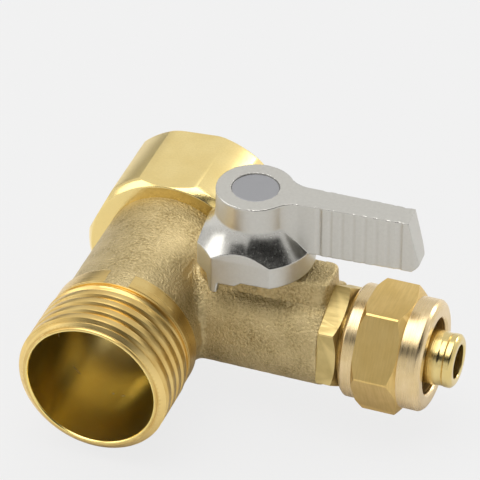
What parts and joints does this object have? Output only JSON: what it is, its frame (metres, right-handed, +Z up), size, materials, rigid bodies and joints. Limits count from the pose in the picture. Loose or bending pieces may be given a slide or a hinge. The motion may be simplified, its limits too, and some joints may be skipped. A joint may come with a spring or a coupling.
{
  "type": "three-way ball valve",
  "caption": "Brass tee adapter with a pipe-thread run, a lever ball valve in its side branch and a compression nut over a tube nipple.",
  "frame": {"origin": "where the axis of the straight run crosses the axis of the side branch", "axes": "+Y along the run towards the female end, +X along the branch towards the tube nipple, +Z up the valve stem"},
  "size_m": [0.0564, 0.0432, 0.0332],
  "materials": {
    "cast_brass": "sand-blasted casting with machined ends",
    "turned_brass": "bright turned",
    "satin_plate": "satin nickel plate on a zinc casting",
    "plated_ball": "polished plate",
    "zinc_steel": "bright zinc plate",
    "grey_cap": "smooth satin",
    "white_plastic": "smooth, waxy",
    "black_rubber": "moulded, matt"
  },
  "bodies": {
    "valve_body": {"valve_body": "cast_brass", "inner_seat": "white_plastic", "outer_seat": "white_plastic", "stem_thrust_washer": "white_plastic", "end_connector": "turned_brass", "connector_o_ring": "black_rubber", "female_port_gasket": "black_rubber"},
    "handle": {"handle": "satin_plate", "handle_screw": "zinc_steel", "screw_spring_washer": "zinc_steel", "handle_cap": "grey_cap", "stem": "turned_brass", "lower_stem_o_ring": "black_rubber", "upper_stem_o_ring": "black_rubber", "ball": "plated_ball"},
    "compression_nut": {"compression_nut": "turned_brass"}
  },
  "joints": [
    {"name": "handle_turn", "type": "hinge", "parent": "valve_body", "child": "handle", "pos_m": [0.01493, 0, 0], "axis": [0, 0, 1], "range_deg": [-3, 87]},
    {"name": "nut_turn", "type": "hinge", "parent": "valve_body", "child": "compression_nut", "pos_m": [0.035, 0, 0], "axis": [1, 0, 0], "continuous": true}
  ]
}
